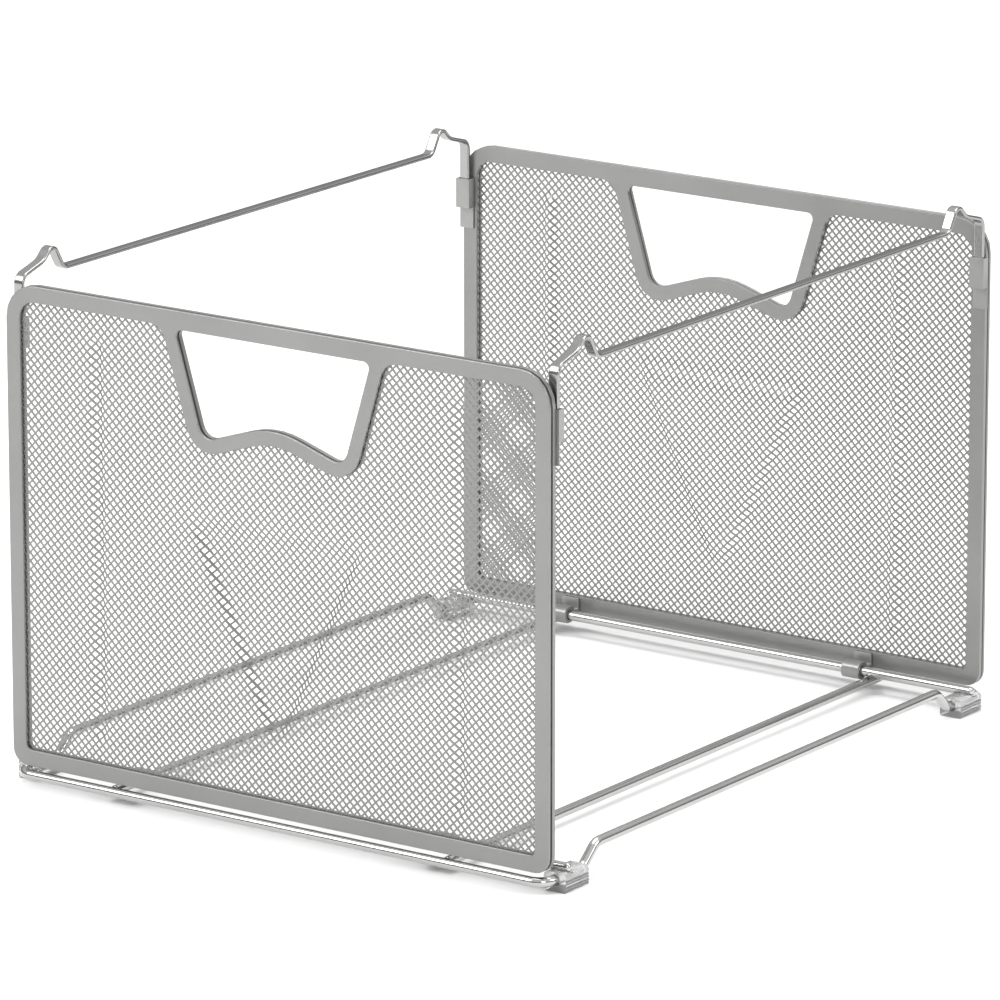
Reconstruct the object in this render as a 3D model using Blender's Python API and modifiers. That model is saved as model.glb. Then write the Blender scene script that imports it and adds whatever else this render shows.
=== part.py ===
"""Folding hanging-file rack: two mesh end panels on a bent-wire base, joined by two lift-out rails.

Metres, +Z up. X runs along the width of the panels, Y from the front panel to the rear panel.
The origin is on the floor under the middle of the rack.
"""
import math

import bmesh
import bpy

# Overall
DEPTH = 0.376               # outer face of the front panel to outer face of the rear panel
PANEL_WIDTH = 0.310
PANEL_HEIGHT = 0.235
PANEL_BOTTOM = 0.0101       # lower edge of a panel above the floor
GAP = 0.0003                # clearance between touching pieces

# Panel layers, outer face inward: frame, mesh, backing
FRAME_THICKNESS = 0.0015
MESH_THICKNESS = 0.0006
BACKING_THICKNESS = 0.0022
BAR_WIDTH = 0.008
TOP_RADIUS = 0.0165
BOTTOM_RADIUS = 0.008
WINDOW_TOP_RADIUS = 0.008
WINDOW_BOTTOM_RADIUS = 0.003
MESH_INSET = 0.003          # mesh edge lies this far inside the frame's outer edge
TRIM_WIDTH = 0.007
TRIM_FILLET = 0.009

# Handle opening: half widths and depths below the panel's top edge, with corner radii
HANDLE_TOP = (0.056, 0.009, 0.003)
HANDLE_LOBE = (0.0405, 0.0605, 0.007)
HANDLE_HUMP = (0.0, 0.0473, 0.045)

# Base; crank lengths are measured from the outer face of the panel
WIRE_RADIUS = 0.0024
WIRE_LOW_Z = 0.0058
SIDE_WIRE_X = 0.1525
SIDE_WIRE_Z = 0.0154
CORNER_RADIUS = 0.008       # where the wire turns from the front to the side
CRANK_START = 0.030
CRANK_END = 0.041
CRANK_RADIUS = 0.008
INNER_ROD_X = 0.0964

# Pivots
PIVOT_INSET = 0.014         # pivot line behind the panel's outer face
PIVOT_Z = 0.0108
PIVOT_ROD_RADIUS = 0.00225
PIVOT_ROD_END_X = 0.1575

# Feet; lengths along Y are measured from the outer face of the panel, inward positive
FOOT_WIDTH = 0.0125
FOOT_FRONT = 0.0083
FOOT_BACK = 0.027
FOOT_TOP = 0.0096
FOOT_SOLE_RADIUS = 0.001
FOOT_SHOULDER_RADIUS = 0.0028

# Hinge clips
CLIP_X = 0.088
CLIP_WIDTH = 0.010
CLIP_EYE_RADIUS = 0.0042
CLIP_EYE_CORNER = 0.0033
CLIP_NECK_CORNER = 0.0025
CLIP_TAB_THICKNESS = 0.0012
CLIP_TAB_TOP = 0.0075       # top of the tab above the panel's lower edge
CLIP_ARM_TOP = 0.0015       # top of the arm above the pivot line

# Rails and their sockets
RAIL_X = 0.1525
RAIL_WIDTH = 0.0055
RAIL_THICKNESS = 0.002
RAIL_LEG_INSET = 0.0072     # leg's middle behind the panel's outer face
RAIL_LEG_DROP = 0.031
RAIL_BENDS = [              # inward from the leg, above the panel's top edge, bend radius
    (0.0, 0.0015, 0.005),
    (0.016, 0.006, 0.010),
    (0.0235, 0.0135, 0.004),
    (0.0315, 0.0, 0.005),
]
SOCKET_TOP = 0.0175         # below the panel's top edge
SOCKET_HEIGHT = 0.015
SOCKET_WALL = 0.001
SOCKET_TAB_THICKNESS = 0.0006
SOCKET_TAB_DROP = 0.011

# Facets and finishes: color, roughness, metallic and, where clear, alpha
ARC_STEPS = 5
CYLINDER_SIDES = 16
MERGE_DISTANCE = 0.00001
FINISHES = {
    "frame": ((0.42, 0.42, 0.41), 0.38, 0.9),
    "mesh": ((0.45, 0.45, 0.44), 0.42, 0.9),
    "wire": ((0.58, 0.58, 0.57), 0.22, 1.0),
    "foot": ((0.90, 0.92, 0.92), 0.12, 0.0, 0.5),
}
PANEL_DEPTH = FRAME_THICKNESS + MESH_THICKNESS + BACKING_THICKNESS + 2.0 * GAP

COLLECTION_NAME = "hanging_file_rack"
CUTTER_COLLECTION_NAME = "cutters"
ALONG_PANEL = (math.pi / 2, 0.0, 0.0)             # plate's x to X, y to Z, thickness along Y
ACROSS_PANEL = (math.pi / 2, 0.0, math.pi / 2)    # plate's x to Y, y to Z, thickness along X


def clear_scene():
    for obj in list(bpy.data.objects):
        bpy.data.objects.remove(obj, do_unlink=True)


def new_collection(name):
    collection = bpy.data.collections.new(name)
    bpy.context.scene.collection.children.link(collection)
    return collection


def new_material(name, color, roughness, metallic, alpha=1.0):
    material = bpy.data.materials.new(name)
    material.use_nodes = True
    shader = material.node_tree.nodes["Principled BSDF"]
    shader.inputs["Base Color"].default_value = (*color, 1.0)
    shader.inputs["Roughness"].default_value = roughness
    shader.inputs["Metallic"].default_value = metallic
    shader.inputs["Alpha"].default_value = alpha
    return material


def add_object(name, data, finish, parent=None, location=(0.0, 0.0, 0.0), rotation=(0.0, 0.0, 0.0)):
    """Put a mesh or curve in the rack's collection with its own copy of a finish."""
    obj = bpy.data.objects.new(name, data)
    parts.objects.link(obj)
    material = new_material(name, *FINISHES[finish])
    data.materials.append(material)
    obj.parent = parent
    obj.location = location
    obj.rotation_euler = rotation
    return obj


def add_pivot(name, y, turn):
    empty = bpy.data.objects.new(name, None)
    parts.objects.link(empty)
    empty.location = (0.0, y, PIVOT_Z)
    empty.rotation_euler = (0.0, 0.0, turn)
    return empty


def rounded(corners, closed=True):
    """Points of an outline whose corners (x, y, radius) are rounded with arcs."""
    points = []
    count = len(corners)
    for index, (x, y, radius) in enumerate(corners):
        at_end = not closed and index in (0, count - 1)
        if radius == 0.0 or at_end:
            points.append((x, y))
            continue
        x_in, y_in, _ = corners[index - 1]
        x_out, y_out, _ = corners[(index + 1) % count]
        heading_in = math.atan2(y - y_in, x - x_in)
        heading_out = math.atan2(y_out - y, x_out - x)
        turn = (heading_out - heading_in + math.pi) % (2.0 * math.pi) - math.pi
        tangent = radius * math.tan(abs(turn) / 2.0)
        side = math.copysign(1.0, turn)
        start_x = x - tangent * math.cos(heading_in)
        start_y = y - tangent * math.sin(heading_in)
        centre_x = start_x - side * radius * math.sin(heading_in)
        centre_y = start_y + side * radius * math.cos(heading_in)
        for step in range(ARC_STEPS + 1):
            angle = heading_in + turn * step / ARC_STEPS
            points.append((centre_x + side * radius * math.sin(angle),
                           centre_y - side * radius * math.cos(angle)))
    return points


def grown(corners, distance):
    """The closed outline of corners moved outward by distance, radii to match."""
    area = sum(a[0] * b[1] - b[0] * a[1] for a, b in zip(corners, corners[1:] + corners[:1]))
    outward = math.copysign(1.0, area)
    result = []
    for index, (x, y, radius) in enumerate(corners):
        x_in, y_in, _ = corners[index - 1]
        x_out, y_out, _ = corners[(index + 1) % len(corners)]
        heading_in = math.atan2(y - y_in, x - x_in)
        heading_out = math.atan2(y_out - y, x_out - x)
        turn = (heading_out - heading_in + math.pi) % (2.0 * math.pi) - math.pi
        middle = heading_in + turn / 2.0
        reach = distance / math.cos(turn / 2.0)
        convex = 1.0 if turn * outward > 0.0 else -1.0
        result.append((x + outward * reach * math.sin(middle),
                       y - outward * reach * math.cos(middle),
                       max(radius + convex * distance, 0.0)))
    return result


def add_splines(curve, outlines, closed):
    for outline in outlines:
        spline = curve.splines.new("POLY")
        spline.points.add(len(outline) - 1)
        for point, place in zip(spline.points, outline):
            point.co = (*place, *[0.0] * (3 - len(place)), 1.0)
        spline.use_cyclic_u = closed


def plate_curve(name, outlines, thickness):
    """A flat plate: the first outline is its edge, the others are its openings."""
    curve = bpy.data.curves.new(name, "CURVE")
    curve.dimensions = "2D"
    curve.fill_mode = "BOTH"
    curve.extrude = thickness / 2.0
    add_splines(curve, outlines, True)
    return curve


def wire_curve(name, route, radius, closed=False):
    """A round wire along a route of (x, y, z) points: a ring, or a length with flat ends."""
    curve = bpy.data.curves.new(name, "CURVE")
    curve.dimensions = "3D"
    curve.bevel_depth = radius
    curve.bevel_resolution = 2
    curve.use_fill_caps = not closed
    add_splines(curve, [route], closed)
    return curve


def mesh_from_curve(name, curve, rotation):
    """A welded mesh of a plate, turned into place, ready for a Boolean."""
    holder = bpy.data.objects.new(name, curve)
    parts.objects.link(holder)
    holder.rotation_euler = rotation
    bpy.context.view_layer.update()
    evaluated = holder.evaluated_get(bpy.context.evaluated_depsgraph_get())
    mesh = bpy.data.meshes.new_from_object(evaluated)
    mesh.transform(holder.matrix_world)
    bm = bmesh.new()
    bm.from_mesh(mesh)
    bmesh.ops.remove_doubles(bm, verts=bm.verts, dist=MERGE_DISTANCE)
    bmesh.ops.recalc_face_normals(bm, faces=bm.faces)
    bm.to_mesh(mesh)
    bm.free()
    bpy.data.objects.remove(holder, do_unlink=True)
    return mesh


def add_cutter(name, mesh, parent, location, rotation=(0.0, 0.0, 0.0)):
    cutter = bpy.data.objects.new(name, mesh)
    cutters.objects.link(cutter)
    cutter.parent = parent
    cutter.location = location
    cutter.rotation_euler = rotation
    cutter.hide_render = True
    cutter.display_type = "WIRE"
    return cutter


def add_boolean(obj, cutter, operation):
    modifier = obj.modifiers.new(cutter.name, "BOOLEAN")
    modifier.object = cutter
    modifier.operation = operation
    modifier.solver = "EXACT"


def box_mesh(name, size):
    bm = bmesh.new()
    bmesh.ops.create_cube(bm, size=1.0)
    bmesh.ops.scale(bm, vec=size, verts=bm.verts)
    mesh = bpy.data.meshes.new(name)
    bm.to_mesh(mesh)
    bm.free()
    return mesh


def cylinder_mesh(name, radius, length):
    bm = bmesh.new()
    bmesh.ops.create_cone(bm, cap_ends=True, segments=CYLINDER_SIDES,
                          radius1=radius, radius2=radius, depth=length)
    mesh = bpy.data.meshes.new(name)
    bm.to_mesh(mesh)
    bm.free()
    return mesh


def circle(x, y, radius):
    steps = CYLINDER_SIDES
    return [(x + radius * math.cos(2.0 * math.pi * i / steps),
             y + radius * math.sin(2.0 * math.pi * i / steps)) for i in range(steps)]


def panel_outline(inset=0.0):
    """Outer edge of a panel, x and height above its lower edge."""
    half = PANEL_WIDTH / 2.0
    edge = [(-half, 0.0, BOTTOM_RADIUS), (half, 0.0, BOTTOM_RADIUS),
            (half, PANEL_HEIGHT, TOP_RADIUS), (-half, PANEL_HEIGHT, TOP_RADIUS)]
    return grown(edge, -inset)


def handle_corners():
    """The handle opening: a wide top, sides that close in, and two lobes beside a hump."""
    left = [(-x, PANEL_HEIGHT - depth, radius) for x, depth, radius in (HANDLE_TOP, HANDLE_LOBE)]
    right = [(-x, height, radius) for x, height, radius in reversed(left)]
    hump = (HANDLE_HUMP[0], PANEL_HEIGHT - HANDLE_HUMP[1], HANDLE_HUMP[2])
    return [*left, hump, *right]


def window_corners():
    """The mesh window: inside the bars, and below the trim band round the handle opening."""
    half = PANEL_WIDTH / 2.0 - BAR_WIDTH
    top = PANEL_HEIGHT - BAR_WIDTH
    trim = grown(handle_corners(), TRIM_WIDTH)
    (x_high, y_high, _), (x_low, y_low, _) = trim[0], trim[1]
    x_join = x_high + (x_low - x_high) * (y_high - top) / (y_high - y_low)
    return [(half, BAR_WIDTH, WINDOW_BOTTOM_RADIUS), (half, top, WINDOW_TOP_RADIUS),
            (-x_join, top, TRIM_FILLET), *reversed(trim[1:-1]), (x_join, top, TRIM_FILLET),
            (-half, top, WINDOW_TOP_RADIUS), (-half, BAR_WIDTH, WINDOW_BOTTOM_RADIUS)]


def add_layer(name, outlines, thickness, inward, finish, pivot):
    """One flat layer of a panel; inward is its outer side's distance from the panel's outer face."""
    curve = plate_curve(name, outlines, thickness)
    place = (0.0, inward + thickness / 2.0 - PIVOT_INSET, PANEL_BOTTOM - PIVOT_Z)
    add_object(name, curve, finish, pivot, place, ALONG_PANEL)


def add_panel_layers(end, pivot):
    frame_outlines = [rounded(panel_outline()), rounded(window_corners()), rounded(handle_corners())]
    mesh_outlines = [rounded(panel_outline(MESH_INSET)), rounded(grown(handle_corners(), MESH_INSET))]
    mesh_inward = FRAME_THICKNESS + GAP
    backing_inward = mesh_inward + MESH_THICKNESS + GAP
    add_layer(f"{end}_frame", frame_outlines, FRAME_THICKNESS, 0.0, "frame", pivot)
    add_layer(f"{end}_mesh", mesh_outlines, MESH_THICKNESS, mesh_inward, "mesh", pivot)
    add_layer(f"{end}_backing", frame_outlines, BACKING_THICKNESS, backing_inward, "frame", pivot)


def add_hinge_clip(name, x, pivot):
    """An eye round the pivot rod on a tab that lies against the panel's bottom bar."""
    tab_front = PANEL_DEPTH + GAP - PIVOT_INSET
    tab_back = tab_front + CLIP_TAB_THICKNESS
    foot = PANEL_BOTTOM - PIVOT_Z
    outer = CLIP_EYE_RADIUS
    edge = [(tab_front, foot, 0.0), (-outer, foot, 0.0), (-outer, -outer, CLIP_EYE_CORNER),
            (outer, -outer, CLIP_EYE_CORNER), (outer, outer, CLIP_EYE_CORNER),
            (-outer, outer, CLIP_NECK_CORNER), (-outer, CLIP_ARM_TOP, 0.0),
            (tab_back, CLIP_ARM_TOP, 0.0), (tab_back, foot + CLIP_TAB_TOP, 0.0),
            (tab_front, foot + CLIP_TAB_TOP, 0.0)]
    eye = circle(0.0, 0.0, PIVOT_ROD_RADIUS + GAP)
    curve = plate_curve(name, [rounded(edge), eye], CLIP_WIDTH)
    add_object(name, curve, "frame", pivot, (x, 0.0, 0.0), ACROSS_PANEL)


def add_socket(name, x, pivot):
    """An open-ended sleeve for a rail's leg, with a weld tab below it."""
    front = PANEL_DEPTH + GAP
    slot_width = RAIL_WIDTH + 2.0 * GAP
    slot_depth = RAIL_THICKNESS + 2.0 * GAP
    back = RAIL_LEG_INSET + slot_depth / 2.0 + SOCKET_WALL
    top = PANEL_HEIGHT - SOCKET_TOP
    bottom = top - SOCKET_HEIGHT
    tab_back = front + SOCKET_TAB_THICKNESS
    edge = [(front, bottom - SOCKET_TAB_DROP, 0.0), (tab_back, bottom - SOCKET_TAB_DROP, 0.0),
            (tab_back, bottom, 0.0), (back, bottom, 0.0), (back, top, 0.0), (front, top, 0.0)]
    curve = plate_curve(name, [rounded(edge)], slot_width + 2.0 * SOCKET_WALL)
    mesh = mesh_from_curve(name, curve, ACROSS_PANEL)
    place = (x, -PIVOT_INSET, PANEL_BOTTOM - PIVOT_Z)
    socket = add_object(name, mesh, "frame", pivot, place)
    slot = box_mesh(f"{name}_slot", (slot_width, slot_depth, SOCKET_HEIGHT + 2.0 * SOCKET_WALL))
    slot_place = (0.0, RAIL_LEG_INSET, (top + bottom) / 2.0)
    add_boolean(socket, add_cutter(f"{name}_slot", slot, socket, slot_place), "DIFFERENCE")


def add_panel(end, turn):
    outward = -math.cos(turn)
    pivot = add_pivot(f"{end}_fold_axis", outward * (DEPTH / 2.0 - PIVOT_INSET), turn)
    add_panel_layers(end, pivot)
    for side, sign in (("left", -1.0), ("right", 1.0)):
        x = sign * math.cos(turn)
        add_hinge_clip(f"{end}_{side}_hinge_clip", x * CLIP_X, pivot)
        add_socket(f"{end}_{side}_socket", x * RAIL_X, pivot)
    rod = wire_curve(f"{end}_pivot_rod", [(-PIVOT_ROD_END_X, 0.0, 0.0), (PIVOT_ROD_END_X, 0.0, 0.0)],
                     PIVOT_ROD_RADIUS)
    add_object(f"{end}_pivot_rod", rod, "wire", None,
               (0.0, outward * (DEPTH / 2.0 - PIVOT_INSET), PIVOT_Z))


def add_rail(side, x):
    """A flat strip on edge along Y: legs, humps near both ends, and a level run between them."""
    run = DEPTH / 2.0 - RAIL_LEG_INSET
    half = [(0.0, -RAIL_LEG_DROP, 0.0), *RAIL_BENDS]
    front = [(inset - run, height, radius) for inset, height, radius in half]
    rear = [(-y, height, radius) for y, height, radius in reversed(front)]
    curve = bpy.data.curves.new(f"{side}_rail", "CURVE")
    curve.dimensions = "2D"
    curve.fill_mode = "NONE"
    curve.extrude = RAIL_WIDTH / 2.0
    add_splines(curve, [rounded(front + rear, closed=False)], False)
    rail = add_object(f"{side}_rail", curve, "wire", None,
                      (x, 0.0, PANEL_BOTTOM + PANEL_HEIGHT), ACROSS_PANEL)
    thickness = rail.modifiers.new("thickness", "SOLIDIFY")
    thickness.thickness = RAIL_THICKNESS
    thickness.offset = 0.0
    thickness.use_even_offset = True


def add_base_wires():
    """One wire bent into a ring, cranked down to the feet, with two rods across it."""
    end_y = DEPTH / 2.0
    plan = rounded([(0.0, -end_y, 0.0), (SIDE_WIRE_X, -end_y, CORNER_RADIUS), (SIDE_WIRE_X, 0.0, 0.0)],
                   closed=False)
    front_corner = [(x, y, WIRE_LOW_Z) for x, y in plan[1:-1]]
    rear_corner = [(x, -y, z) for x, y, z in reversed(front_corner)]
    half = [(CORNER_RADIUS, WIRE_LOW_Z, 0.0), (CRANK_START, WIRE_LOW_Z, CRANK_RADIUS),
            (CRANK_END, SIDE_WIRE_Z, CRANK_RADIUS)]
    front = [(inset - end_y, height, radius) for inset, height, radius in half]
    rear = [(-y, height, radius) for y, height, radius in reversed(front)]
    cranks = [(SIDE_WIRE_X, y, z) for y, z in rounded(front + rear, closed=False)[1:-1]]
    right = front_corner + cranks + rear_corner
    ring = right + [(-x, -y, z) for x, y, z in right]
    add_object("base_wire", wire_curve("base_wire", ring, WIRE_RADIUS, closed=True), "wire")
    butt = WIRE_RADIUS + GAP
    for side, sign in (("left", -1.0), ("right", 1.0)):
        name = f"{side}_inner_rod"
        x = sign * INNER_ROD_X
        route = [(x, butt - end_y, WIRE_LOW_Z), (x, end_y - butt, WIRE_LOW_Z)]
        add_object(name, wire_curve(name, route, WIRE_RADIUS), "wire")


def add_foot(end, side):
    """A block threaded on the base wire, with an open cradle for the pivot rod across its top."""
    outward = -1.0 if end == "front" else 1.0
    name = f"{end}_{side}_foot"
    half = FOOT_WIDTH / 2.0
    edge = [(-half, 0.0, FOOT_SOLE_RADIUS), (half, 0.0, FOOT_SOLE_RADIUS),
            (half, FOOT_TOP, FOOT_SHOULDER_RADIUS), (-half, FOOT_TOP, FOOT_SHOULDER_RADIUS)]
    bore = circle(0.0, WIRE_LOW_Z, WIRE_RADIUS + GAP)
    curve = plate_curve(name, [rounded(edge), bore], FOOT_BACK - FOOT_FRONT)
    mesh = mesh_from_curve(name, curve, ALONG_PANEL)
    middle = (FOOT_FRONT + FOOT_BACK) / 2.0
    x = SIDE_WIRE_X if side == "right" else -SIDE_WIRE_X
    foot = add_object(name, mesh, "foot", None, (x, outward * (DEPTH / 2.0 - middle), 0.0))
    cradle = cylinder_mesh(f"{name}_cradle", PIVOT_ROD_RADIUS + GAP, 2.0 * FOOT_WIDTH)
    place = (0.0, outward * (middle - PIVOT_INSET), PIVOT_Z)
    cutter = add_cutter(f"{name}_cradle", cradle, foot, place, (0.0, math.pi / 2, 0.0))
    add_boolean(foot, cutter, "DIFFERENCE")


clear_scene()
parts = new_collection(COLLECTION_NAME)
cutters = new_collection(CUTTER_COLLECTION_NAME)
add_base_wires()
for foot_end in ("front", "rear"):
    for foot_side in ("left", "right"):
        add_foot(foot_end, foot_side)
add_panel("front", 0.0)
add_panel("rear", math.pi)
add_rail("left", -RAIL_X)
add_rail("right", RAIL_X)
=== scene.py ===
import math
import bmesh
import bpy
from mathutils import Matrix, Vector
from mathutils.bvhtree import BVHTree


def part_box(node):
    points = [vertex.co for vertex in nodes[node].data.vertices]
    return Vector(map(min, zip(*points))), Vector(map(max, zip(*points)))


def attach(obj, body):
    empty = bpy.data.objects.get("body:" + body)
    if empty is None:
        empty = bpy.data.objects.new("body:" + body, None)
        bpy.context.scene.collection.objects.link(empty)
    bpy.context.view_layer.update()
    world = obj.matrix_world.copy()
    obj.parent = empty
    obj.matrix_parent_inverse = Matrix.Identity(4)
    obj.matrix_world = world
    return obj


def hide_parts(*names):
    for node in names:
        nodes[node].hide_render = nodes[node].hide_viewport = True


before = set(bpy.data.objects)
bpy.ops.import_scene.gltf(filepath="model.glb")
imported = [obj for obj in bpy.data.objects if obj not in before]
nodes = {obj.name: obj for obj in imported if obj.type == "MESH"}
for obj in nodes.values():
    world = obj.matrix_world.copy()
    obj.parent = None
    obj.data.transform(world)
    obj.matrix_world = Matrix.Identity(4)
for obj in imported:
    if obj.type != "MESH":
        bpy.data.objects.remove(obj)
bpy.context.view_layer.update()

# Studio: a pale floor that runs out of sight, and soft light from large panels, as for a
# catalogue picture. The camera stands well back with a long lens, to the right of the front.
camera_data = bpy.data.cameras.new("studio_camera")
camera_data.sensor_width = 36.0
camera_data.lens = 281.8
camera_data.clip_end = 50.0
camera = bpy.data.objects.new("studio_camera", camera_data)
bpy.context.scene.collection.objects.link(camera)
bpy.context.scene.camera = camera
camera.location = (2.0836, -2.9748, 1.0935)
camera.rotation_euler = (math.radians(90.0 - 14.975), 0.0, math.radians(35.06))

floor_mesh = bpy.data.meshes.new("studio_floor")
bm = bmesh.new()
bmesh.ops.create_grid(bm, x_segments=2, y_segments=2, size=12.0)
bm.to_mesh(floor_mesh)
bm.free()
studio_floor = bpy.data.objects.new("studio_floor", floor_mesh)
bpy.context.scene.collection.objects.link(studio_floor)
floor_paper = bpy.data.materials.new("floor_paper")
floor_paper.use_nodes = True
floor_shader = floor_paper.node_tree.nodes["Principled BSDF"]
floor_shader.inputs["Base Color"].default_value = (0.90, 0.90, 0.90, 1.0)
floor_shader.inputs["Roughness"].default_value = 0.85
floor_mesh.materials.append(floor_paper)


def hang_light(name, place, aim, width, power):
    light = bpy.data.lights.new(name, "AREA")
    light.shape = "SQUARE"
    light.size = width
    light.energy = power
    lamp = bpy.data.objects.new(name, light)
    bpy.context.scene.collection.objects.link(lamp)
    lamp.location = place
    lamp.rotation_euler = (Vector(aim) - Vector(place)).to_track_quat("-Z", "Y").to_euler()


hang_light("key_panel", (-1.3, -1.9, 1.8), (0.0, 0.0, 0.12), 1.3, 46.0)
hang_light("front_right_panel", (1.9, -1.5, 0.9), (0.0, -0.1, 0.1), 0.6, 14.0)
hang_light("side_panel", (2.2, 0.6, 1.4), (0.0, 0.0, 0.12), 1.0, 16.0)
hang_light("top_panel", (0.0, 0.3, 2.4), (0.0, 0.0, 0.1), 1.6, 34.0)

studio_world = bpy.data.worlds.new("studio_world")
studio_world.use_nodes = True
sky = studio_world.node_tree
sky_place = sky.nodes.new("ShaderNodeTexCoord")
sky_height = sky.nodes.new("ShaderNodeSeparateXYZ")
sky.links.new(sky_place.outputs["Generated"], sky_height.inputs["Vector"])
sky_ramp = sky.nodes.new("ShaderNodeValToRGB")
sky_ramp.color_ramp.elements[0].position = 0.05
sky_ramp.color_ramp.elements[0].color = (0.10, 0.10, 0.105, 1.0)
sky_ramp.color_ramp.elements[1].position = 0.55
sky_ramp.color_ramp.elements[1].color = (1.0, 1.0, 1.0, 1.0)
sky.links.new(sky_height.outputs["Z"], sky_ramp.inputs["Fac"])
sky.links.new(sky_ramp.outputs["Color"], sky.nodes["Background"].inputs["Color"])
sky.nodes["Background"].inputs["Strength"].default_value = 0.85
bpy.context.scene.world = studio_world
bpy.context.scene.view_settings.view_transform = "Standard"

# Panel frames: two flat steel strips a panel, blanked with the handle trim in one piece and
# powder coated satin silver. Their cut edges are slightly rounded by the coat. They are spot
# welded face to face with the mesh sheet caught between them.
COAT_ROUNDING = 0.00045
ROUNDING_STEPS = 3
WELD_DISTANCE = 0.000005
FLAT_WITHIN = 1.0           # degrees between facets that count as one flat face
SHARP_FROM = 38.0           # degrees at which a shaded edge stays sharp


def coat_finish(name, color, metallic, roughness, coat, grain, grain_depth, edge_highlight):
    """A sprayed or plated metal finish: faint mottle, fine orange peel, and a paler painted highlight on
    convex edges.
    """
    finish = bpy.data.materials.new(name)
    finish.use_nodes = True
    tree = finish.node_tree
    link = tree.links.new
    shader = tree.nodes["Principled BSDF"]
    place = tree.nodes.new("ShaderNodeTexCoord")
    mottle = tree.nodes.new("ShaderNodeTexNoise")
    mottle.inputs["Scale"].default_value = 22.0
    mottle.inputs["Detail"].default_value = 4.0
    link(place.outputs["Object"], mottle.inputs["Vector"])
    shade = tree.nodes.new("ShaderNodeValToRGB")
    shade.color_ramp.elements[0].position = 0.30
    shade.color_ramp.elements[0].color = (*[c * 0.93 for c in color], 1.0)
    shade.color_ramp.elements[1].position = 0.72
    shade.color_ramp.elements[1].color = (*[c * 1.05 for c in color], 1.0)
    link(mottle.outputs["Fac"], shade.inputs["Fac"])
    # Painted highlight: convex edges, found by pointiness, are mixed towards a paler colour.
    edges = tree.nodes.new("ShaderNodeNewGeometry")
    edge_band = tree.nodes.new("ShaderNodeMapRange")
    edge_band.inputs["From Min"].default_value = 0.53
    edge_band.inputs["From Max"].default_value = 0.62
    edge_band.inputs["To Max"].default_value = edge_highlight
    link(edges.outputs["Pointiness"], edge_band.inputs["Value"])
    highlight_mix = tree.nodes.new("ShaderNodeMixRGB")
    highlight_mix.inputs["Color2"].default_value = (*[min(c * 1.5, 0.95) for c in color], 1.0)
    link(edge_band.outputs["Result"], highlight_mix.inputs["Fac"])
    link(shade.outputs["Color"], highlight_mix.inputs["Color1"])
    link(highlight_mix.outputs["Color"], shader.inputs["Base Color"])
    rough_band = tree.nodes.new("ShaderNodeMapRange")
    rough_band.inputs["To Min"].default_value = roughness * 0.85
    rough_band.inputs["To Max"].default_value = roughness * 1.2
    link(mottle.outputs["Fac"], rough_band.inputs["Value"])
    link(rough_band.outputs["Result"], shader.inputs["Roughness"])
    peel = tree.nodes.new("ShaderNodeTexNoise")
    peel.inputs["Scale"].default_value = grain
    peel.inputs["Detail"].default_value = 2.0
    link(place.outputs["Object"], peel.inputs["Vector"])
    bump = tree.nodes.new("ShaderNodeBump")
    bump.inputs["Strength"].default_value = grain_depth
    bump.inputs["Distance"].default_value = 0.0002
    link(peel.outputs["Fac"], bump.inputs["Height"])
    link(bump.outputs["Normal"], shader.inputs["Normal"])
    shader.inputs["Metallic"].default_value = metallic
    shader.inputs["Coat Weight"].default_value = coat
    shader.inputs["Coat Roughness"].default_value = 0.25
    return finish


satin_silver = coat_finish("satin_silver", (0.26, 0.26, 0.255), 0.55, 0.36, 0.15, 1600.0, 0.25, 0.5)


def place_piece(name, bm, finish, slot_name, body, *replaced):
    """A finished bmesh becomes a smooth-shaded piece that rides on its body."""
    mesh = bpy.data.meshes.new(name)
    bm.to_mesh(mesh)
    bm.free()
    mesh.materials.append(finish)
    mesh.shade_smooth()
    mesh.set_sharp_from_angle(angle=math.radians(SHARP_FROM))
    piece = bpy.data.objects.new(name, mesh)
    bpy.context.scene.collection.objects.link(piece)
    evening = piece.modifiers.new("even_shading", "WEIGHTED_NORMAL")
    evening.keep_sharp = True
    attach(piece, body)
    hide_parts(*replaced)
    return piece


def merged_copy(node):
    """The node's solid with its triangles joined into flat faces."""
    bm = bmesh.new()
    bm.from_mesh(nodes[node].data)
    bmesh.ops.remove_doubles(bm, verts=bm.verts, dist=WELD_DISTANCE)
    flat = math.radians(FLAT_WITHIN)
    bmesh.ops.dissolve_limit(bm, angle_limit=flat, verts=bm.verts, edges=bm.edges)
    return bm


def round_edges(bm, width, segments, sharper_than=35.0):
    limit = math.radians(sharper_than)
    sharp = [e for e in bm.edges if len(e.link_faces) == 2 and e.calc_face_angle() > limit]
    bmesh.ops.bevel(bm, geom=sharp, offset=width, affect="EDGES", segments=segments,
                    profile=0.5, material=-1, clamp_overlap=True)


for end in ("front", "rear"):
    for layer in ("frame", "backing"):
        node = f"{end}_{layer}"
        bm = merged_copy(node)
        round_edges(bm, COAT_ROUNDING, ROUNDING_STEPS)
        place_piece(f"{node}_plate", bm, satin_silver, "frame_steel", f"{end}_panel", node)

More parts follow.
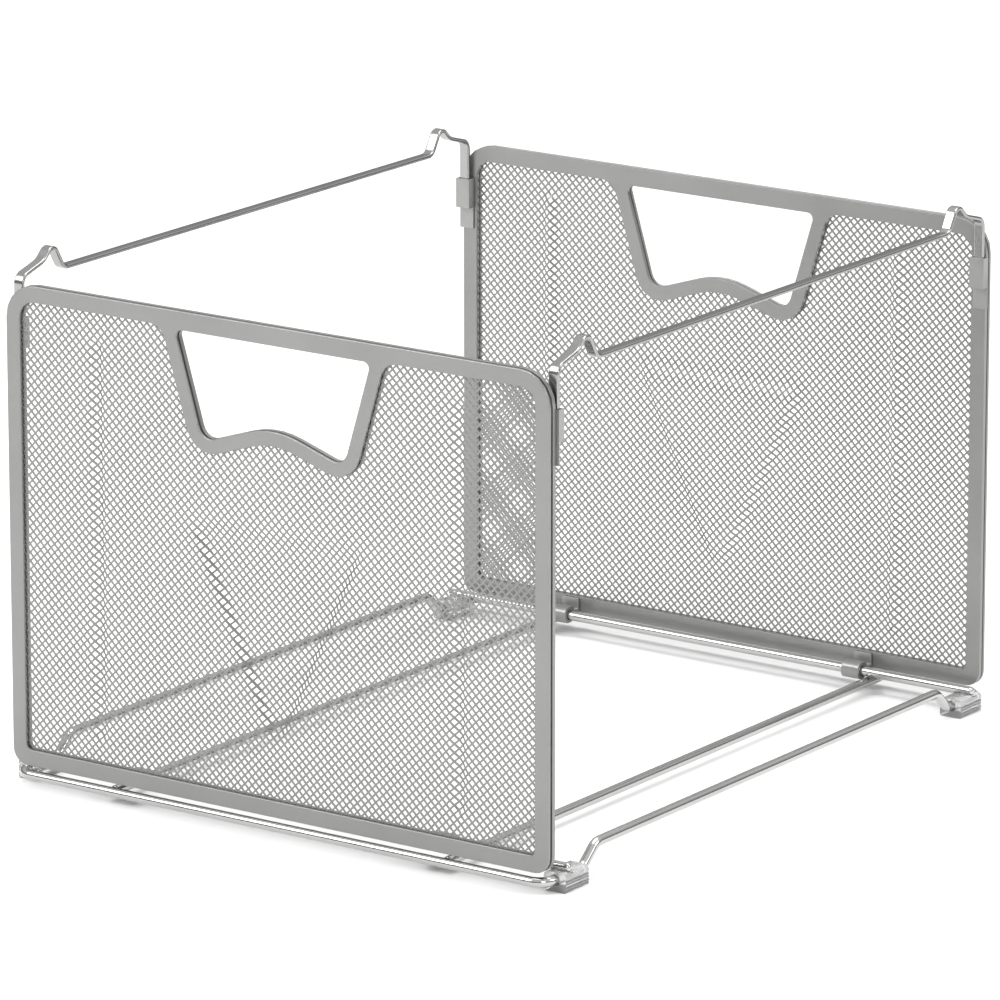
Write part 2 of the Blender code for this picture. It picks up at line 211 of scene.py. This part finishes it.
# Mesh sheets: thin steel slit and pulled into diamonds, flattened, coated like the frames. Two
# upright beads and a tapering panel are pressed inward to stiffen the sheet. The sheet's edge
# is caught between the two frames, so the cut cells at its rim stay out of sight.
STRAND_PITCH = 0.00296      # between strand middles, along a strand
STRAND_WIDTH = 0.00086
SHEET_THICKNESS = 0.0005
BEAD_X = 0.1035
BEAD_HALF_WIDTH = 0.005
BEAD_TOP = 0.0245           # bead's end points, below the panel's top edge
BEAD_FOOT = 0.2120
BEAD_DEPTH = 0.0020
TAPER_TOP = 0.094
TAPER_FOOT = 0.200
TAPER_HALF_TOP = 0.0536
TAPER_HALF_FOOT = 0.0040
TAPER_FLANK = 0.0055
TAPER_END_FLANK = 0.014
TAPER_DEPTH = 0.0028
RAY_STANDOFF = 0.01         # a ray across the sheet starts this far before it
panel_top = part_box("front_frame")[1][2]
mesh_silver = coat_finish("mesh_silver", (0.25, 0.25, 0.245), 0.6, 0.38, 0.10, 1600.0, 0.2, 0.35)


def eased(amount):
    amount = min(max(amount, 0.0), 1.0)
    return amount * amount * (3.0 - 2.0 * amount)


def pressed_depth(x, depth):
    """How far the sheet is pressed inward at x, depth below the panel's top edge."""
    along = min(max(depth, BEAD_TOP), BEAD_FOOT)
    off_bead = math.hypot(abs(x) - BEAD_X, depth - along)
    bead = BEAD_DEPTH * eased(1.0 - off_bead / BEAD_HALF_WIDTH)
    slope = (TAPER_HALF_TOP - TAPER_HALF_FOOT) / (TAPER_FOOT - TAPER_TOP)
    half = TAPER_HALF_TOP - slope * (depth - TAPER_TOP)
    ends = min(depth - TAPER_TOP, TAPER_FOOT - depth) / TAPER_END_FLANK
    sides = (half - abs(x)) / math.hypot(1.0, slope) / TAPER_FLANK
    return max(bead, TAPER_DEPTH * eased(ends) * eased(sides))


for end, inward in (("front", 1.0), ("rear", -1.0)):
    node = f"{end}_mesh"
    low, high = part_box(node)
    middle = (Vector(low) + Vector(high)) / 2.0
    reach = math.hypot(high[0] - low[0], high[2] - low[2]) / 2.0
    cells = math.ceil(2.0 * reach / STRAND_PITCH)
    bm = bmesh.new()
    bmesh.ops.create_grid(bm, x_segments=cells, y_segments=cells, size=cells * STRAND_PITCH / 2.0)
    turn = Matrix.Rotation(math.radians(90.0), 4, "X") @ Matrix.Rotation(math.radians(45.0), 4, "Z")
    bmesh.ops.transform(bm, matrix=Matrix.Translation(middle) @ turn, verts=bm.verts)
    sheet = BVHTree.FromPolygons([v.co for v in nodes[node].data.vertices],
                                 [p.vertices for p in nodes[node].data.polygons])
    outside = []
    for face in bm.faces:
        centre = face.calc_center_median()
        start = Vector((centre.x, centre.y - RAY_STANDOFF, centre.z))
        if sheet.ray_cast(start, Vector((0.0, 1.0, 0.0)), 2.0 * RAY_STANDOFF)[0] is None:
            outside.append(face)
    bmesh.ops.delete(bm, geom=outside, context="FACES")
    diamonds = list(bm.faces)
    bmesh.ops.inset_individual(bm, faces=diamonds, thickness=STRAND_WIDTH / 2.0, use_even_offset=True)
    bmesh.ops.delete(bm, geom=diamonds, context="FACES")
    bmesh.ops.recalc_face_normals(bm, faces=bm.faces)
    bmesh.ops.solidify(bm, geom=bm.faces, thickness=SHEET_THICKNESS)
    sheet_middle = sum(v.co.y for v in bm.verts) / len(bm.verts)
    for vert in bm.verts:
        depth = panel_top - vert.co.z
        vert.co.y += middle.y - sheet_middle + inward * pressed_depth(vert.co.x, depth)
    place_piece(f"{end}_diamond_mesh", bm, mesh_silver, "mesh_steel", f"{end}_panel", node)

# Rail sockets and hinge clips: small folded steel pieces, coated with the panel after they are
# welded to its backing strip. A socket is a flat sleeve with a tab below it; a clip is an eye
# that turns on the pivot rod.
FOLD_ROUNDING = 0.00030
for end in ("front", "rear"):
    for side in ("left", "right"):
        for part_name in ("socket", "hinge_clip"):
            node = f"{end}_{side}_{part_name}"
            bm = merged_copy(node)
            round_edges(bm, FOLD_ROUNDING, ROUNDING_STEPS, 40.0)
            place_piece(f"{node}_body", bm, satin_silver, "frame_steel", f"{end}_panel", node)

# Base wires: drawn steel wire, bright plated, bent cold on a former. One wire runs right round
# the base, with rounded corners and cranks down to the feet, and is butt welded into a ring. Two
# straight rods lie across it.
WIRE_SIDES = 28
CORNER_BEND = 0.008
CRANK_BEND = 0.008
CRANK_LOW = 0.030           # crank's two ends, inward from the panel's outer face
CRANK_HIGH = 0.041
BEND_STEP = math.radians(6.0)
CUT_END_ROUNDING = 0.25     # of the wire's radius
CUT_END_ANGLE = 60.0
bright_plate = coat_finish("bright_plate", (0.52, 0.52, 0.51), 1.0, 0.15, 0.0, 900.0, 0.06, 0.15)


def wire_end(bm, radius, place, heading):
    """The cut face of a round wire at place, facing along heading."""
    turn = Vector((0.0, 0.0, 1.0)).rotation_difference(Vector(heading)).to_matrix().to_4x4()
    made = bmesh.ops.create_circle(bm, cap_ends=True, segments=WIRE_SIDES, radius=radius,
                                   matrix=Matrix.Translation(place) @ turn)
    return made["verts"][0].link_faces[0]


def run_on(bm, face, step):
    """Pull the leading face straight on by step."""
    made = bmesh.ops.extrude_face_region(bm, geom=[face])["geom"]
    verts = [g for g in made if isinstance(g, bmesh.types.BMVert)]
    bmesh.ops.translate(bm, vec=step, verts=verts)
    return next(g for g in made if isinstance(g, bmesh.types.BMFace))


def bend_on(bm, face, centre, axis, angle):
    """Turn the leading face round a former at centre."""
    steps = max(3, round(angle / BEND_STEP))
    geometry = [face, *face.edges, *face.verts]
    made = bmesh.ops.spin(bm, geom=geometry, cent=centre, axis=axis, angle=angle,
                          steps=steps, use_duplicate=False)["geom_last"]
    return next(g for g in made if isinstance(g, bmesh.types.BMFace))


def follow(bm, face, corners):
    """Bend stock along corners (point, bend radius)."""
    done = 0.0
    for index in range(1, len(corners)):
        here = Vector(corners[index - 1][0])
        corner = Vector(corners[index][0])
        heading = (corner - here).normalized()
        angle = tangent = 0.0
        if index < len(corners) - 1:
            next_heading = (Vector(corners[index + 1][0]) - corner).normalized()
            angle = heading.angle(next_heading)
            tangent = corners[index][1] * math.tan(angle / 2.0)
        run = (corner - here).length - tangent - done
        face = run_on(bm, face, heading * run)
        if tangent > 0.0:
            axis = heading.cross(next_heading).normalized()
            centre = corner - heading * tangent + axis.cross(heading) * corners[index][1]
            face = bend_on(bm, face, centre, axis, angle)
        done = tangent
    return face


def close_stock(bm):
    bmesh.ops.remove_doubles(bm, verts=bm.verts, dist=WELD_DISTANCE)
    bmesh.ops.recalc_face_normals(bm, faces=bm.faces)


for side in ("left", "right"):
    node = f"{side}_inner_rod"
    low, high = (Vector(corner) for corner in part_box(node))
    wire_radius = (high.z - low.z) / 2.0
    start = ((low.x + high.x) / 2.0, low.y, low.z + wire_radius)
    bm = bmesh.new()
    run_on(bm, wire_end(bm, wire_radius, start, (0.0, 1.0, 0.0)), (0.0, high.y - low.y, 0.0))
    close_stock(bm)
    round_edges(bm, wire_radius * CUT_END_ROUNDING, ROUNDING_STEPS, CUT_END_ANGLE)
    place_piece(f"{node}_stock", bm, bright_plate, "bright_wire", "base", node)

low, high = (Vector(corner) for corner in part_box("base_wire"))
panel_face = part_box("front_frame")[0][1]
ring_x = high.x - wire_radius
ring_y = low.y + wire_radius
low_z = low.z + wire_radius
high_z = high.z - wire_radius
quarter = [((ring_x, ring_y, low_z), CORNER_BEND), ((ring_x, panel_face + CRANK_LOW, low_z), CRANK_BEND),
           ((ring_x, panel_face + CRANK_HIGH, high_z), CRANK_BEND)]
right_side = quarter + [((x, -y, z), bend) for (x, y, z), bend in reversed(quarter)]
left_side = [((-x, y, z), bend) for (x, y, z), bend in reversed(right_side)]
middle = ((0.0, ring_y, low_z), 0.0)
bm = bmesh.new()
follow(bm, wire_end(bm, wire_radius, middle[0], (1.0, 0.0, 0.0)), [middle, *right_side, *left_side, middle])
butt_faces = [face for face in bm.faces if len(face.verts) > 4]
bmesh.ops.delete(bm, geom=butt_faces, context="FACES_ONLY")
close_stock(bm)
place_piece("base_wire_stock", bm, bright_plate, "bright_wire", "base", "base_wire")

# Pivot rods: straight bright rod whose tumbled ends are nearly domes. Each end lies in the open
# cradle on top of a foot, and the panel's clips turn on the rod.
DOME_ROUNDING = 0.75        # of the rod's radius
DOME_STEPS = 6
for end in ("front", "rear"):
    node = f"{end}_pivot_rod"
    low, high = (Vector(corner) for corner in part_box(node))
    radius = (high.z - low.z) / 2.0
    start = Vector((low.x, (low.y + high.y) / 2.0, (low.z + high.z) / 2.0))
    bm = bmesh.new()
    run_on(bm, wire_end(bm, radius, start, (1.0, 0.0, 0.0)), (high.x - low.x, 0.0, 0.0))
    close_stock(bm)
    round_edges(bm, radius * DOME_ROUNDING, DOME_STEPS, CUT_END_ANGLE)
    place_piece(f"{node}_stock", bm, bright_plate, "bright_wire", "base", node)

# Feet: clear styrene blocks threaded on the base wire. Fine flutes run front to back over the
# outer side and the top, and an open cradle across the top carries the pivot rod.
FLUTE_RADIUS = 0.00052
FLUTE_PITCH = 0.0015
MOULD_ROUNDING = 0.0003
SIDE_FLUTES = 4
TOP_FLUTES = 5
clear_plastic = bpy.data.materials.new("clear_styrene")
clear_plastic.use_nodes = True
clear_tree = clear_plastic.node_tree
clear_shader = clear_tree.nodes["Principled BSDF"]
clear_shader.inputs["Base Color"].default_value = (0.99, 0.99, 0.99, 1.0)
clear_shader.inputs["Transmission Weight"].default_value = 0.80
clear_shader.inputs["IOR"].default_value = 1.45
clear_place = clear_tree.nodes.new("ShaderNodeTexCoord")
flow_marks = clear_tree.nodes.new("ShaderNodeTexNoise")
flow_marks.inputs["Scale"].default_value = 260.0
flow_marks.inputs["Detail"].default_value = 3.0
clear_tree.links.new(clear_place.outputs["Object"], flow_marks.inputs["Vector"])
haze = clear_tree.nodes.new("ShaderNodeMapRange")
haze.inputs["To Min"].default_value = 0.04
haze.inputs["To Max"].default_value = 0.20
clear_tree.links.new(flow_marks.outputs["Fac"], haze.inputs["Value"])
clear_tree.links.new(haze.outputs["Result"], clear_shader.inputs["Roughness"])
flow_bump = clear_tree.nodes.new("ShaderNodeBump")
flow_bump.inputs["Strength"].default_value = 0.25
flow_bump.inputs["Distance"].default_value = 0.0002
clear_tree.links.new(flow_marks.outputs["Fac"], flow_bump.inputs["Height"])
clear_tree.links.new(flow_bump.outputs["Normal"], clear_shader.inputs["Normal"])

for end in ("front", "rear"):
    for side, outward in (("left", -1.0), ("right", 1.0)):
        node = f"{end}_{side}_foot"
        low, high = (Vector(corner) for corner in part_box(node))
        bm = merged_copy(node)
        round_edges(bm, MOULD_ROUNDING, ROUNDING_STEPS, 60.0)
        block_mesh = bpy.data.meshes.new(f"{node}_block")
        bm.to_mesh(block_mesh)
        bm.free()
        block = bpy.data.objects.new(f"{node}_block", block_mesh)
        bpy.context.scene.collection.objects.link(block)
        flutes = bmesh.new()
        lie_along = Matrix.Rotation(math.radians(90.0), 4, "X")
        outer_x = high.x if outward > 0.0 else low.x
        rows = [(outer_x, FLUTE_PITCH * (count + 1)) for count in range(SIDE_FLUTES)]
        for count in range(TOP_FLUTES):
            rows.append(((low.x + high.x) / 2.0 + FLUTE_PITCH * (count - TOP_FLUTES // 2), high.z))
        for flute_x, height in rows:
            place = Matrix.Translation((flute_x, (low.y + high.y) / 2.0, height))
            bmesh.ops.create_cone(flutes, cap_ends=True, segments=10, radius1=FLUTE_RADIUS,
                                  radius2=FLUTE_RADIUS, depth=2.0 * (high.y - low.y),
                                  matrix=place @ lie_along)
        flute_mesh = bpy.data.meshes.new(f"{node}_flutes")
        flutes.to_mesh(flute_mesh)
        flutes.free()
        flute_object = bpy.data.objects.new(f"{node}_flutes", flute_mesh)
        bpy.context.scene.collection.objects.link(flute_object)
        cut = block.modifiers.new("flutes", "BOOLEAN")
        cut.object = flute_object
        cut.operation = "DIFFERENCE"
        cut.solver = "EXACT"
        evaluated = block.evaluated_get(bpy.context.evaluated_depsgraph_get())
        fluted = bpy.data.meshes.new_from_object(evaluated)
        bpy.data.objects.remove(block, do_unlink=True)
        bpy.data.objects.remove(flute_object, do_unlink=True)
        bm = bmesh.new()
        bm.from_mesh(fluted)
        place_piece(f"{node}_moulding", bm, clear_plastic, "foot_plastic", "base", node)

# Rails: flat bright strip with rolled edges, bent flat-wise. Each end turns down into a leg that
# drops into a socket, and a hump near each end keeps the folder hooks off the panel.
STRIP_WIDTH = 0.0055
STRIP_THICKNESS = 0.0020
STRIP_EDGE = 0.0008
LEG_INSET = 0.0072
LEG_DROP = 0.031
RAIL_CORNERS = [            # inward from the leg, above the panel's top edge, bend radius
    (0.0, -LEG_DROP, 0.0),
    (0.0, 0.0015, 0.005),
    (0.016, 0.006, 0.010),
    (0.0235, 0.0135, 0.004),
    (0.0315, 0.0, 0.005),
]
strip_plate = coat_finish("strip_plate", (0.36, 0.36, 0.355), 1.0, 0.22, 0.0, 900.0, 0.06, 0.15)
leg_y = panel_face + LEG_INSET
for side in ("left", "right"):
    node = f"{side}_rail"
    low, high = (Vector(corner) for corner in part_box(node))
    x = (low.x + high.x) / 2.0
    bm = bmesh.new()
    bmesh.ops.create_grid(bm, x_segments=1, y_segments=1, size=0.5)
    bmesh.ops.scale(bm, vec=(STRIP_WIDTH, STRIP_THICKNESS, 1.0), verts=bm.verts)
    bmesh.ops.bevel(bm, geom=bm.verts, offset=STRIP_EDGE, affect="VERTICES", segments=4,
                    profile=0.5, material=-1)
    bmesh.ops.translate(bm, vec=(x, leg_y, panel_top - LEG_DROP), verts=bm.verts)
    bm.faces.ensure_lookup_table()
    half_route = [((x, leg_y + y, panel_top + z), bend) for y, z, bend in RAIL_CORNERS]
    rear_route = [((x, -point[1], point[2]), bend) for point, bend in reversed(half_route)]
    follow(bm, bm.faces[0], half_route + rear_route)
    close_stock(bm)
    place_piece(f"{node}_strip", bm, strip_plate, "bright_wire", f"{side}_rail", node)
